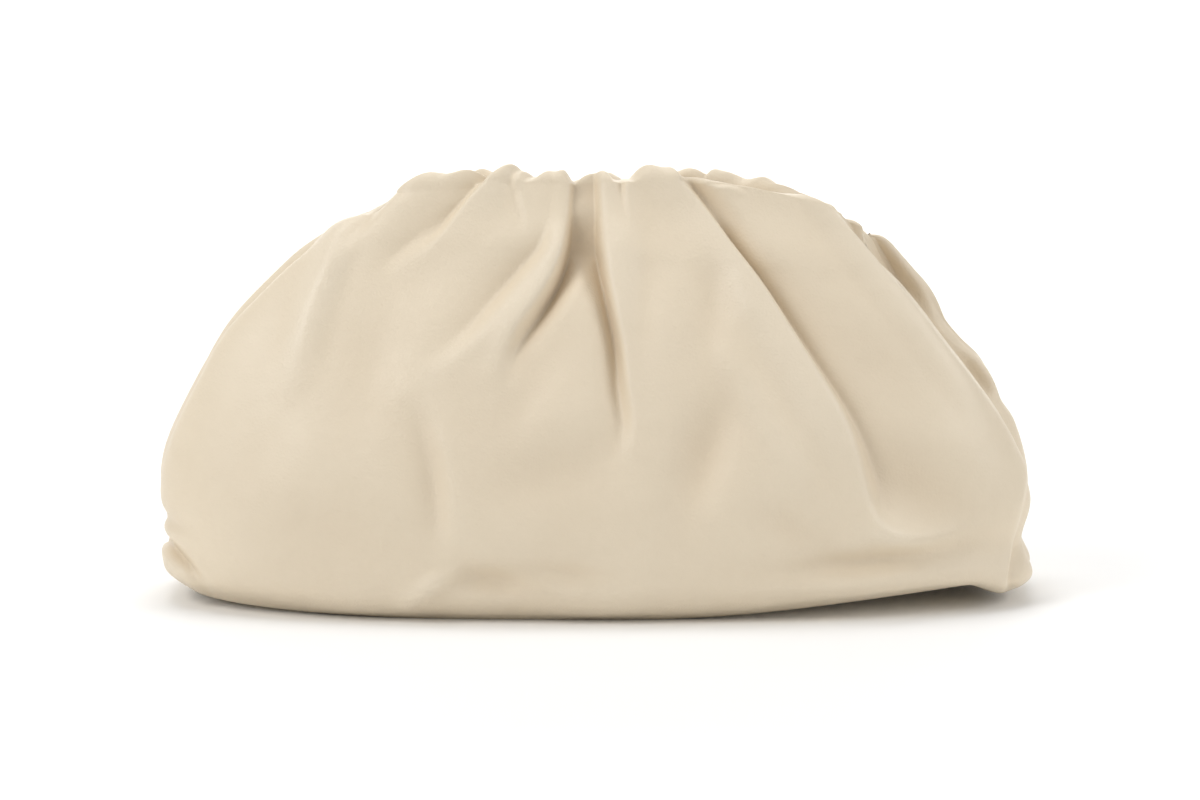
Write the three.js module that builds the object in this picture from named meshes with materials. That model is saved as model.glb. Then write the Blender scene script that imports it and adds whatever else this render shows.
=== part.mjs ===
// A large soft clutch bag of smooth cream leather, gathered into a long narrow mouth.
//
// A front and a back leather panel are sewn together down both sides and round an oval base
// panel. Each panel rises from the base rim, swells, draws in to the mouth in deep loose folds,
// rolls over the top as a soft lip and hems down inside. A stiff closure frame, one long flat
// ring, is hidden in the channel between the hems and the gathered wall.
//
// Millimetres, +Z up, +X to the right as the front is looked at, front towards -Y.
// The origin is the middle of the underside of the base panel.

import * as THREE from "three";

// Overall sizes
const BAG_WIDTH = 400;
const BAG_HEIGHT = 200;
const BAG_DEPTH = 156;

// Leather and how its pieces meet
const LEATHER = 2;
const SEAM_GAP = 0.3;

// Mouth and the frame hidden in it
const MOUTH_LENGTH = 206;
const MOUTH_SHIFT = 15;
const MOUTH_SLOT = 8;
const FRAME_BAR = 3;
const FRAME_HEIGHT = 10;
const FRAME_CLEARANCE = 0.3;
const FRAME_BELOW_LIP = 27;
const FRAME_DROP = 13;
const HEM_OVER_FRAME = 2;
const BACK_LIP_DROP = 4.5;
const GATHER_ROOM = 7;

// The folds' full depth and reach, which the tables below take shares of
const FOLD_DEPTH = 14;
const FOLD_REACH = 40;
const SIDE_TUCK = 16;
const LIP_CRIMP = 0.9;

// Facets
const COLUMNS = 50;
const FRONT_ROWS = 23;
const BACK_ROWS = 18;
const ROLL_ROWS = 4;
const HEM_ROWS = 1;

const FRAME_ARC_FACETS = 8;

// How much of each ring's half width is level before it rises or falls to its end
const LEVEL_MIDDLE = 0.35;

// How the seams shape the wall: the most of a ring's depth that the side tuck bends, how sharply
// the lobes' ends are drawn in, how much closer columns stand near the seams, and the share of the
// way to a seam over which folds fade out
const TUCK_DEPTH_SHARE = 0.3;
const END_SHARPNESS = 4;
const SEAM_COLUMNS_CLOSER = 0.25;
const SEAM_FADE = 0.08;

// How the rim and the lip shape the wall, in shares of the way up from the rim
const RIM_FADE = 0.06;
const CURL_FADE = 0.25;
const LIP_DROP_SHARPNESS = 6;

// How a fold changes from its foot to its top: its width at both, and where it has its full depth
const FOOT_SPREAD = 1.15;
const TOP_SPREAD = 0.6;
const FULL_FOLD_AT = 0.4;

// The slot's ends are rounded by this power, and the lip sinks by this share of a valley's depth
const SLOT_SQUARE = 6;
const LIP_NOTCH_SHARE = 1 / 3;

// Steps for measuring the wall's slopes and a fold's slope
const WALL_STEP = 1e-3;
const FOLD_STEP = 0.02;

const HALF_WIDTH = BAG_WIDTH / 2;
const HALF_DEPTH = BAG_DEPTH / 2;
const CHANNEL_DEPTH = MOUTH_SLOT / 2 + 2 * LEATHER + 2 * FRAME_CLEARANCE + FRAME_BAR;
const LIP_DEPTH = CHANNEL_DEPTH + GATHER_ROOM;
const LIP_ROLL = (LIP_DEPTH - MOUTH_SLOT / 2) / 2;
const WALL_HEIGHT = BAG_HEIGHT - LIP_ROLL;
const MOUTH_END = { left: MOUTH_LENGTH / 2 - MOUTH_SHIFT, right: MOUTH_LENGTH / 2 + MOUTH_SHIFT };

// The rings that the wall is lofted through, from the base rim up to the crest of the lip.
// left, right: how far the ring's ends lie from the mouth's end (0) out to the half width (1),
// before the side tuck draws the seam in, so the widest rings go a little past 1.
// leftRise, rise, rightRise: height of the left end, the middle and the right end, in wall heights.
// front, back: depth from the lip's (0) out to the half depth (1). square: 2 is an ellipse.
// insetLeft, insetRight: how far the front lobe stops short of the back one, in half widths.
// tuck: how far the side seam is drawn in, in side tucks.
const RINGS = [
  { name: "rim", left: 0.87, leftRise: 0.022, rise: 0, right: 0.88, rightRise: 0.02,
    front: 0.74, back: 0.72, square: 2.5, insetLeft: 0, insetRight: 0, tuck: 0.1 },
  { name: "foot", left: 0.99, leftRise: 0.075, rise: 0.05, right: 1.03, rightRise: 0.06,
    front: 0.95, back: 0.93, square: 2.5, insetLeft: 0.005, insetRight: 0.01, tuck: 0.2 },
  { name: "low", left: 0.99, leftRise: 0.15, rise: 0.13, right: 0.98, rightRise: 0.145,
    front: 1, back: 1, square: 2.45, insetLeft: 0.01, insetRight: 0.01, tuck: 0.3 },
  { name: "full", left: 1.03, leftRise: 0.26, rise: 0.26, right: 1.03, rightRise: 0.25,
    front: 0.96, back: 0.98, square: 2.4, insetLeft: 0.02, insetRight: 0.01, tuck: 0.4 },
  { name: "waist", left: 1.005, leftRise: 0.37, rise: 0.4, right: 0.985, rightRise: 0.37,
    front: 0.84, back: 0.86, square: 2.4, insetLeft: 0.015, insetRight: 0.02, tuck: 0.6 },
  { name: "shoulder", left: 0.915, leftRise: 0.5, rise: 0.54, right: 0.875, rightRise: 0.5,
    front: 0.65, back: 0.66, square: 2.4, insetLeft: 0.01, insetRight: 0.05, tuck: 0.85 },
  { name: "slope", left: 0.765, leftRise: 0.65, rise: 0.68, right: 0.67, rightRise: 0.645,
    front: 0.42, back: 0.42, square: 2.5, insetLeft: 0.01, insetRight: 0.075, tuck: 1 },
  { name: "neck", left: 0.51, leftRise: 0.79, rise: 0.8, right: 0.4, rightRise: 0.765,
    front: 0.19, back: 0.19, square: 2.8, insetLeft: 0.015, insetRight: 0.07, tuck: 0.85 },
  { name: "collar", left: 0.24, leftRise: 0.89, rise: 0.9, right: 0.2, rightRise: 0.84,
    front: 0.05, back: 0.05, square: 3.2, insetLeft: 0.015, insetRight: 0.045, tuck: 0.45 },
  { name: "crest", left: 0.02, leftRise: 0.95, rise: 0.985, right: 0, rightRise: 0.875,
    front: 0, back: 0, square: 4, insetLeft: 0, insetRight: 0, tuck: 0.15 },
];

// The folds, each a rolled ridge along a line with a valley on one side of it.
// path: how far right of the middle the ridge runs, in half widths, at four even heights from its
// top down. topZ, footZ: heights of its two ends, in bag heights. side: 1 if the valley is to its
// right. ridge, valley: how far it stands out and sinks in, in fold depths. steep, open: widths of
// the valley's steep and open flanks, in fold reaches. lap: how far the ridge leans over the
// valley, in fold depths.
const FOLDS = [
  { name: "left_shoulder", panel: "front", path: [-0.4, -0.5, -0.56, -0.59], topZ: 1.02, footZ: 0.74,
    side: -1, ridge: 0.12, valley: 0.6, steep: 0.16, open: 0.35, lap: 0.1 },
  { name: "left_sheen", panel: "front", path: [-0.55, -0.59, -0.66, -0.75], topZ: 0.95, footZ: 0.4,
    side: -1, ridge: 0.25, valley: 0.1, steep: 0.5, open: 0.6, lap: 0 },
  { name: "left_lobe", panel: "front", path: [-0.215, -0.27, -0.35, -0.44], topZ: 1.04, footZ: 0.75,
    side: -1, ridge: 0.2, valley: 0.6, steep: 0.16, open: 0.6, lap: 0.15 },
  { name: "soft_groove", panel: "front", path: [-0.11, -0.15, -0.265, -0.43], topZ: 0.95, footZ: 0.5,
    side: -1, ridge: 0.15, valley: 0.26, steep: 0.3, open: 0.45, lap: 0 },
  { name: "centre_left", panel: "front", path: [-0.055, -0.05, -0.115, -0.24], topZ: 1.04, footZ: 0.48,
    side: 1, ridge: 0.25, valley: 0.8, steep: 0.18, open: 0.6, lap: 0.2 },
  { name: "centre_right", panel: "front", path: [0.005, 0.035, 0.093, 0.085], topZ: 1.04, footZ: 0.26,
    side: -1, ridge: 0.22, valley: 0.9, steep: 0.18, open: 0.6, lap: 0.25 },
  { name: "great_flap", panel: "front", path: [0.16, 0.389, 0.553, 0.635], topZ: 1.04, footZ: 0.14,
    side: 1, ridge: 0.25, valley: 0.8, steep: 0.28, open: 0.85, lap: 0.3 },
  { name: "back_left", panel: "back", path: [-0.24, -0.45, -0.58, -0.62], topZ: 1.04, footZ: 0.24,
    side: -1, ridge: 0.25, valley: 0.7, steep: 0.15, open: 0.8, lap: 0.2 },
  { name: "back_mid_left", panel: "back", path: [-0.1, -0.15, -0.22, -0.28], topZ: 1.04, footZ: 0.5,
    side: 1, ridge: 0.2, valley: 0.6, steep: 0.15, open: 0.5, lap: 0.15 },
  { name: "back_centre", panel: "back", path: [0.07, 0.06, 0.09, 0.15], topZ: 1.04, footZ: 0.3,
    side: 1, ridge: 0.22, valley: 0.75, steep: 0.15, open: 0.6, lap: 0.2 },
  { name: "back_mid_right", panel: "back", path: [0.25, 0.36, 0.45, 0.5], topZ: 1.04, footZ: 0.4,
    side: -1, ridge: 0.2, valley: 0.6, steep: 0.16, open: 0.6, lap: 0.2 },
  { name: "back_right", panel: "back", path: [0.42, 0.6, 0.74, 0.82], topZ: 0.95, footZ: 0.35,
    side: 1, ridge: 0.2, valley: 0.5, steep: 0.2, open: 0.6, lap: 0.1 },
];

// The soft dents pressed into the filled-out leather. x, z: the middle, in half widths and bag
// heights. long, wide: half length and half width, in fold reaches. turn: degrees that the long
// way leans from level. sink: how deep, in fold depths, and a swelling where it is negative.
const DENTS = [
  { name: "left_crease", panel: "front", x: -0.355, z: 0.31, long: 1.2, wide: 0.28, turn: -84,
    sink: 0.22 },
  { name: "centre_dip", panel: "front", x: -0.27, z: 0.08, long: 0.9, wide: 0.3, turn: 15,
    sink: 0.35 },
  { name: "middle_hollow", panel: "front", x: 0.27, z: 0.34, long: 1, wide: 0.45, turn: 78,
    sink: 0.26 },
  { name: "right_bowl", panel: "front", x: 0.74, z: 0.24, long: 0.7, wide: 0.45, turn: 25,
    sink: 0.25 },
  { name: "right_groove", panel: "front", x: 0.72, z: 0.12, long: 1.2, wide: 0.2, turn: 14,
    sink: 0.4 },
  { name: "left_corner", panel: "front", x: -0.93, z: 0.1, long: 0.5, wide: 0.18, turn: -45,
    sink: 0.35 },
  { name: "back_hollow", panel: "back", x: -0.1, z: 0.33, long: 1, wide: 0.5, turn: 70,
    sink: 0.28 },
  { name: "back_groove", panel: "back", x: 0.55, z: 0.14, long: 1.4, wide: 0.25, turn: 8,
    sink: 0.35 },
];

// Where the rim curls up off the floor. x: the middle, in half widths. wide: its half width, in
// fold reaches. lift: how high, in fold depths.
const LIFTS = [
  { name: "right_curl", panel: "front", x: 0.76, wide: 2, lift: 0.62 },
  { name: "back_curl", panel: "back", x: -0.75, wide: 1.8, lift: 0.3 },
];

// Small maths
const mix = (a, b, t) => a + (b - a) * t;
const clamp = (x, low, high) => Math.min(Math.max(x, low), high);
const ease = (t) => {
  const c = clamp(t, 0, 1);
  return c * c * (3 - 2 * c);
};

// A smooth curve through evenly spaced values, at a share of the way from the first to the last.
function curveThrough(values, share) {
  const last = values.length - 1;
  const at = clamp(share, 0, 1) * last;
  const i = Math.min(Math.floor(at), last - 1);
  const t = at - i;
  const [before, from, to, after] = [i - 1, i, i + 1, i + 2].map((k) => values[clamp(k, 0, last)]);
  const t2 = t * t;
  const t3 = t2 * t;
  return (
    (2 * t3 - 3 * t2 + 1) * from +
    ((t3 - 2 * t2 + t) * (to - before)) / 2 +
    (3 * t2 - 2 * t3) * to +
    ((t3 - t2) * (after - from)) / 2
  );
}

// The value of one column of the rings' table, between the rim (0) and the crest (1).
const ringValue = (column, up) => curveThrough(RINGS.map((ring) => ring[column]), up);

// Where a column of the grid stands between the left seam (-1) and the right seam (1).
function columnShare(u) {
  const closer = SEAM_COLUMNS_CLOSER / (2 * Math.PI);
  return -Math.cos(Math.PI * (u + closer * Math.sin(2 * Math.PI * u)));
}

const outward = { front: -1, back: 1 };

// The smooth wall before its folds: column share m, and up from the rim (0) to the crest (1).
function smoothWall(panel, m, up) {
  const end = m < 0 ? "left" : "right";
  const reach = mix(MOUTH_END[end], HALF_WIDTH, ringValue(end, up));
  const inset = panel === "front" ? ringValue(m < 0 ? "insetLeft" : "insetRight", up) : 0;
  const square = ringValue("square", up);
  const depth = mix(LIP_DEPTH, HALF_DEPTH, ringValue(panel, up));
  const share = Math.abs(m);
  const plan = Math.pow(Math.max(1 - Math.pow(share, square), 0), 1 / square);
  const endRise = ringValue(m < 0 ? "leftRise" : "rightRise", up);
  const toEnd = Math.pow(Math.max(share - LEVEL_MIDDLE, 0) / (1 - LEVEL_MIDDLE), 2);
  const rise = mix(ringValue("rise", up), endRise, toEnd) * WALL_HEIGHT;
  const drop = panel === "back" ? BACK_LIP_DROP * Math.pow(up, LIP_DROP_SHARPNESS) : 0;
  // The seam is drawn in between the front and the back lobe.
  const tuckDepth = Math.min(SIDE_TUCK, TUCK_DEPTH_SHARE * depth);
  const nearSeam = Math.exp(-Math.pow((plan * depth) / tuckDepth, 2));
  const pulled = inset * HALF_WIDTH * (1 - nearSeam) + SIDE_TUCK * ringValue("tuck", up) * nearSeam;
  const towardsEnd = Math.pow(share, END_SHARPNESS);
  return new THREE.Vector3(
    m * reach - Math.sign(m) * pulled * towardsEnd,
    outward[panel] * (plan * depth + SEAM_GAP / 2),
    rise - drop * (1 - towardsEnd),
  );
}

// How far a fold lifts and shifts the wall at a point of the front or back view.
function foldAt(fold, x, z) {
  const span = (fold.topZ - fold.footZ) * BAG_HEIGHT;
  const climb = (z - fold.footZ * BAG_HEIGHT) / span;
  if (climb <= 0) return { lift: 0, shift: 0 };
  const t = Math.min(climb, 1);
  const ridgeX = (up) => curveThrough(fold.path, 1 - up) * HALF_WIDTH;
  const slope = (ridgeX(t + FOLD_STEP) - ridgeX(t - FOLD_STEP)) / (2 * FOLD_STEP * span);
  const away = (fold.side * (x - ridgeX(t))) / Math.hypot(1, slope);
  const spread = mix(FOOT_SPREAD, TOP_SPREAD, t);
  const steep = fold.steep * FOLD_REACH * spread;
  const open = fold.open * FOLD_REACH * spread;
  const strength = ease(t / FULL_FOLD_AT) * FOLD_DEPTH;
  const ridge = fold.ridge * ease(1 + away / open);
  const drop = ease(away / steep);
  const recover = 1 - ease((away - steep) / open);
  const lift = away < 0 ? ridge : ridge * (1 - drop) - fold.valley * drop * recover;
  const lean = fold.side * fold.lap * Math.exp(-Math.pow(away / steep, 2));
  return { lift: lift * strength, shift: lean * strength };
}

// How far a dent sinks the wall at a point of the front or back view.
function dentAt(dent, x, z) {
  const turn = (dent.turn * Math.PI) / 180;
  const dx = x - dent.x * HALF_WIDTH;
  const dz = z - dent.z * BAG_HEIGHT;
  const along = (dx * Math.cos(turn) + dz * Math.sin(turn)) / (dent.long * FOLD_REACH);
  const across = (dz * Math.cos(turn) - dx * Math.sin(turn)) / (dent.wide * FOLD_REACH);
  return -dent.sink * FOLD_DEPTH * Math.exp(-along * along - across * across);
}

// The wall's outer face with its folds. Sinking in stops at the channel that the frame lies in.
function foldedWall(panel, m, up) {
  const base = smoothWall(panel, m, up);
  let lift = 0;
  let shift = 0;
  for (const fold of FOLDS.filter((f) => f.panel === panel)) {
    const part = foldAt(fold, base.x, base.z);
    lift += part.lift;
    shift += part.shift;
  }
  for (const dent of DENTS.filter((d) => d.panel === panel)) lift += dentAt(dent, base.x, base.z);
  const across = smoothWall(panel, Math.min(m + WALL_STEP, 1), up).sub(
    smoothWall(panel, Math.max(m - WALL_STEP, -1), up),
  );
  const rising = smoothWall(panel, m, Math.min(up + WALL_STEP, 1)).sub(
    smoothWall(panel, m, Math.max(up - WALL_STEP, 0)),
  );
  const normal = across.clone().cross(rising).normalize().multiplyScalar(-outward[panel]);
  const room = Math.max(Math.abs(base.y) - CHANNEL_DEPTH, 0);
  if (lift < 0) lift = room > 0 ? -room * Math.tanh(-lift / room) : 0;
  const toSeam = ease((1 - Math.abs(m)) / SEAM_FADE);
  const toRim = ease(up / RIM_FADE);
  for (const curl of LIFTS.filter((c) => c.panel === panel)) {
    const near = ease(1 - Math.abs(base.x - curl.x * HALF_WIDTH) / (curl.wide * FOLD_REACH));
    base.z += curl.lift * FOLD_DEPTH * near * toSeam * ease(1 - up / CURL_FADE);
  }
  return base
    .addScaledVector(normal, lift * toSeam * toRim)
    .addScaledVector(across.normalize(), shift * toSeam * toRim);
}

// The slot's edge that the hem hangs from, for a column share.
function slotEdge(panel, m) {
  const end = m < 0 ? "left" : "right";
  const plan = Math.pow(Math.max(1 - Math.pow(Math.abs(m), SLOT_SQUARE), 0), 1 / SLOT_SQUARE);
  return new THREE.Vector2(
    m * (MOUTH_END[end] - 2 * LIP_ROLL),
    outward[panel] * Math.max((plan * MOUTH_SLOT) / 2, SEAM_GAP / 2),
  );
}

// The height of the frame's top edge, which drops a little from left to right.
function frameTop(x) {
  return WALL_HEIGHT - FRAME_BELOW_LIP + LIP_ROLL - (FRAME_DROP * (x - MOUTH_SHIFT)) / MOUTH_LENGTH;
}

// One column of a panel's outer face, from the base rim to the foot of the hem.
function panelColumn(panel, m) {
  const points = [];
  const rows = panel === "front" ? FRONT_ROWS : BACK_ROWS;
  for (let j = 0; j <= rows; j++) points.push(foldedWall(panel, m, j / rows));
  const crest = points[rows];
  const slot = slotEdge(panel, m);
  // A ridge that stands out of the wall also stands up on the lip, and a valley notches it less.
  const pushed = outward[panel] * (crest.y - smoothWall(panel, m, 1).y);
  const crimp = LIP_CRIMP * Math.max(pushed, pushed * LIP_NOTCH_SHARE);
  for (let j = 1; j <= ROLL_ROWS; j++) {
    const turn = (Math.PI * j) / ROLL_ROWS;
    const inwards = (1 - Math.cos(turn)) / 2;
    points.push(
      new THREE.Vector3(
        mix(crest.x, slot.x, inwards),
        mix(crest.y, slot.y, inwards),
        crest.z + (LIP_ROLL + crimp) * Math.sin(turn),
      ),
    );
  }
  const hemFoot = frameTop(slot.x) - FRAME_HEIGHT - HEM_OVER_FRAME;
  for (let j = 1; j <= HEM_ROWS; j++)
    points.push(new THREE.Vector3(slot.x, slot.y, mix(crest.z, hemFoot, j / HEM_ROWS)));
  return points;
}

// A grid's normals by central differences, facing the way that columns cross rows.
function gridNormals(grid) {
  const at = (i, j) => grid[clamp(i, 0, grid.length - 1)][clamp(j, 0, grid[0].length - 1)];
  return grid.map((column, i) =>
    column.map((_, j) => {
      const across = at(i + 1, j).clone().sub(at(i - 1, j));
      const rising = at(i, j + 1).clone().sub(at(i, j - 1));
      return across.cross(rising).normalize();
    }),
  );
}

// A closed sheet between an outer and an inner grid of the same size.
function sheetGeometry(outer, inner) {
  const columns = outer.length;
  const rows = outer[0].length;
  const positions = [];
  for (const grid of [outer, inner])
    for (const column of grid) for (const p of column) positions.push(p.x, p.y, p.z);
  const index = [];
  const out = (i, j) => i * rows + j;
  const back = columns * rows;
  for (let i = 0; i < columns - 1; i++) {
    for (let j = 0; j < rows - 1; j++) {
      const [a, b, c, d] = [out(i, j), out(i + 1, j), out(i + 1, j + 1), out(i, j + 1)];
      const rising = outer[i][j].distanceTo(outer[i + 1][j + 1]);
      const falling = outer[i + 1][j].distanceTo(outer[i][j + 1]);
      const faces = rising < falling ? [[a, b, c], [a, c, d]] : [[a, b, d], [b, c, d]];
      for (const [p, q, r] of faces) index.push(p, q, r, back + p, back + r, back + q);
    }
  }
  const rimPoints = [];
  for (let i = 0; i < columns - 1; i++) rimPoints.push(out(i, 0));
  for (let j = 0; j < rows - 1; j++) rimPoints.push(out(columns - 1, j));
  for (let i = columns - 1; i > 0; i--) rimPoints.push(out(i, rows - 1));
  for (let j = rows - 1; j > 0; j--) rimPoints.push(out(0, j));
  rimPoints.forEach((p, k) => {
    const q = rimPoints[(k + 1) % rimPoints.length];
    index.push(q, p, back + p, q, back + p, back + q);
  });
  const geometry = new THREE.BufferGeometry();
  geometry.setAttribute("position", new THREE.Float32BufferAttribute(positions, 3));
  geometry.setIndex(index);
  geometry.computeVertexNormals();
  return geometry;
}

// Column shares from seam to seam, left to right for the front and right to left for the back,
// so that both panels' grids face outwards.
function columnShares(panel) {
  const shares = [];
  for (let i = 0; i <= COLUMNS; i++) shares.push(columnShare(i / COLUMNS));
  return panel === "front" ? shares : shares.reverse();
}

// A leather panel: its outer face, and its inner face one leather thickness in.
function leatherPanel(panel) {
  const outer = columnShares(panel).map((m) => panelColumn(panel, m));
  const normals = gridNormals(outer);
  const seamY = (outward[panel] * SEAM_GAP) / 2;
  const inner = outer.map((column, i) =>
    column.map((p, j) => {
      const normal = normals[i][j];
      // The cut edges are square: level at the rim and the hem's foot, and flat along the seams.
      if (j === 0 || j === column.length - 1) normal.z = 0;
      if (i === 0 || i === outer.length - 1) normal.y = 0;
      const q = p.clone().addScaledVector(normal.normalize(), -LEATHER);
      const past = outward[panel] * (q.y - seamY) < 0;
      if (past || i === 0 || i === outer.length - 1) q.y = seamY;
      return q;
    }),
  );
  return sheetGeometry(outer, inner);
}

// The base panel fills the rim inside the two panels, and curves up with it at both ends.
function basePanel() {
  const inset = LEATHER + SEAM_GAP;
  const edges = ["back", "front"].map((panel) => {
    const rim = columnShares("front").map((m) => [foldedWall(panel, m, 0)]);
    return rim.map(([p], i) => {
      const before = rim[Math.max(i - 1, 0)][0];
      const after = rim[Math.min(i + 1, rim.length - 1)][0];
      const along = new THREE.Vector3(after.x - before.x, after.y - before.y, 0).normalize();
      const turned = new THREE.Vector3(along.y, -along.x, 0).multiplyScalar(-outward[panel]);
      return p.clone().addScaledVector(turned, -inset);
    });
  });
  const [backEdge, frontEdge] = edges;
  const [frontSide, middle, backSide] = [0, 0.5, 1];
  const inside = frontEdge.map((p, i) => i).filter((i) => backEdge[i].y - frontEdge[i].y > inset);
  const under = inside.map((i) =>
    [frontSide, middle, backSide].map((t) => new THREE.Vector3(
      mix(frontEdge[i].x, backEdge[i].x, t),
      mix(frontEdge[i].y, backEdge[i].y, t),
      mix(frontEdge[i].z, backEdge[i].z, t),
    )),
  );
  const upper = under.map((column) => column.map((p) => p.clone().setZ(p.z + LEATHER)));
  return sheetGeometry(upper, under);
}

// The closure frame: one long flat ring round the slot, standing on edge in the channel.
function closureFrame() {
  const inside = MOUTH_SLOT / 2 + LEATHER + FRAME_CLEARANCE;
  const stadium = (path, radius) => {
    const left = MOUTH_SLOT / 2 + 2 * LIP_ROLL - LEATHER - MOUTH_END.left;
    const right = MOUTH_END.right + LEATHER - 2 * LIP_ROLL - MOUTH_SLOT / 2;
    path.absarc(right, 0, radius, -Math.PI / 2, Math.PI / 2, false);
    path.absarc(left, 0, radius, Math.PI / 2, (3 * Math.PI) / 2, false);
    path.closePath();
    return path;
  };
  const ring = stadium(new THREE.Shape(), inside + FRAME_BAR);
  ring.holes.push(stadium(new THREE.Path(), inside));
  const geometry = new THREE.ExtrudeGeometry(ring, {
    depth: FRAME_HEIGHT,
    bevelEnabled: false,
    curveSegments: FRAME_ARC_FACETS,
  });
  const position = geometry.getAttribute("position");
  for (let i = 0; i < position.count; i++)
    position.setZ(i, position.getZ(i) + frameTop(position.getX(i)) - FRAME_HEIGHT);
  return geometry;
}

const leather = new THREE.MeshStandardMaterial({ color: 0xdfcfb4, roughness: 0.5, metalness: 0 });
const steel = new THREE.MeshStandardMaterial({ color: 0x9a9a98, roughness: 0.35, metalness: 1 });

const bag = new THREE.Group();
const pieces = [
  ["front_panel", leatherPanel("front"), leather],
  ["back_panel", leatherPanel("back"), leather],
  ["base_panel", basePanel(), leather],
  ["closure_frame", closureFrame(), steel],
];
for (const [name, geometry, material] of pieces) {
  const mesh = new THREE.Mesh(geometry, material);
  mesh.name = name;
  bag.add(mesh);
}

export default bag;
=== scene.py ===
"""The looks of a large soft clutch bag of smooth cream leather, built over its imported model.

The leather's shape is worked out in millimetres and turned into metres as each mesh is made.
x runs to the right, z up, and the front of the bag faces -y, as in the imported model.
"""

import math
from collections import namedtuple

import bpy
import numpy as np
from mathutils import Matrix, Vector


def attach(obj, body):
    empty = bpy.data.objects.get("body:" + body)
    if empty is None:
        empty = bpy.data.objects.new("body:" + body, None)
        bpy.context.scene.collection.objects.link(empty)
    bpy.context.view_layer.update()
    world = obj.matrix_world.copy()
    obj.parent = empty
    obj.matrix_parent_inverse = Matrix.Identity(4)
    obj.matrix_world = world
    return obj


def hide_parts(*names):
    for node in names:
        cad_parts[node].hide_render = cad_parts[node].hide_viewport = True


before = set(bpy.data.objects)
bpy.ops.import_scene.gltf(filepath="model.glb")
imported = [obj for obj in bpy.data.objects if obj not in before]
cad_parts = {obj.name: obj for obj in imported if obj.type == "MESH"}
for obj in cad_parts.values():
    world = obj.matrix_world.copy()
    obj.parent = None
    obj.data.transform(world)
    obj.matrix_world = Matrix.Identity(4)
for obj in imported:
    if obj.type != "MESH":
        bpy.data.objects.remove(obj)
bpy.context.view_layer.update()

MM = 0.001
PHOTO_SIZE = (1200, 800)

# Sizes of the bag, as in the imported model, but with the right seam drawn in further
BAG_WIDTH = 400
BAG_HEIGHT = 200
BAG_DEPTH = 156
LEATHER = 2
SEAM_GAP = 0.3
MOUTH_LENGTH = 206
MOUTH_SHIFT = 15
FRAME_SLOT = 8
FRAME_BAR = 3
FRAME_CLEARANCE = 0.3
FRAME_HEIGHT = 10
GATHER_ROOM = 7
SIDE_TUCK = {"left": 16, "right": 27}
TUCK_WIDTH = {"left": 16, "right": 13}
SEAM_HOLD = 7
LEVEL_MIDDLE = 0.35
BACK_LIP_DROP = 4.5
FRAME_BELOW_LIP = 27
FRAME_DROP = 13
HEM_OVER_FRAME = 2

# Beside the frame the valleys stay shallow. They may deepen from this far above or below it
PAST_FRAME = {"clear": 2, "fade": 15}

# The lips are shown pressed nearly shut: from a little below the frame's top the wall leans in to
# a tight crest
LIP_SLOT = 1.4
LIP_TOP = 3.6
LIP_LEAN = 0.46
LEAN_START = -14
LEAN_HEIGHT = 36

HALF_WIDTH = BAG_WIDTH / 2
HALF_DEPTH = BAG_DEPTH / 2
CHANNEL_DEPTH = FRAME_SLOT / 2 + 2 * LEATHER + 2 * FRAME_CLEARANCE + FRAME_BAR
LIP_DEPTH = CHANNEL_DEPTH + GATHER_ROOM
PRESSED_DEPTH = LIP_SLOT / 2 + 2 * LEATHER + 2 * SEAM_GAP
LIP_ROLL = (LIP_DEPTH - FRAME_SLOT / 2) / 2
WALL_HEIGHT = BAG_HEIGHT - LIP_ROLL
MOUTH_END = {
    "left": MOUTH_LENGTH / 2 - MOUTH_SHIFT,
    "right": MOUTH_LENGTH / 2 + MOUTH_SHIFT,
}
OUTWARD = {"front": -1, "back": 1}

# Past the frame's two ends the wall may sink in nearly to the seam
FRAME_END = {
    side: end + 2 * LEATHER + FRAME_CLEARANCE + FRAME_BAR - 2 * LIP_ROLL
    for side, end in MOUTH_END.items()
}
END_DEPTH = 1
END_FADE = 8

# How much closer the middle columns stand than plain cosine steps would have them, the most of a
# ring's depth that the side tuck bends, and how sharply the lobes' ends are drawn in
MIDDLE_COLUMNS_CLOSER = 0.25
TUCK_DEPTH_SHARE = 0.3
END_SHARPNESS = 4

# Folds fade in over the first of these shares of the way up, and the rim's curl fades out over the
# second. The power says how near the crest the back lip drops
RIM_FADE = 0.06
CURL_FADE = 0.25
LIP_DROP_SHARPNESS = 6

# A valley's open flank starts this share of the way down its steep one
OPEN_FLANK_START = 0.8

# The least room that a valley is given, and the least that its wall is taken to face forwards
LEAST_ROOM = 0.01
LEAST_FACING = 0.35

# The lip's slot is rounded by this power at its ends. The lip's top rises and sinks by these shares
# of a ridge's and a valley's height at the crest, its bumps fade out towards the seams, and it
# always stands up by the least lip
SLOT_SQUARE = 6
LIP_RIDGE_SHARE = 0.7
LIP_VALLEY_SHARE = 0.0875
LIP_END_FADE = 0.1
LEAST_LIP = 0.5

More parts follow.
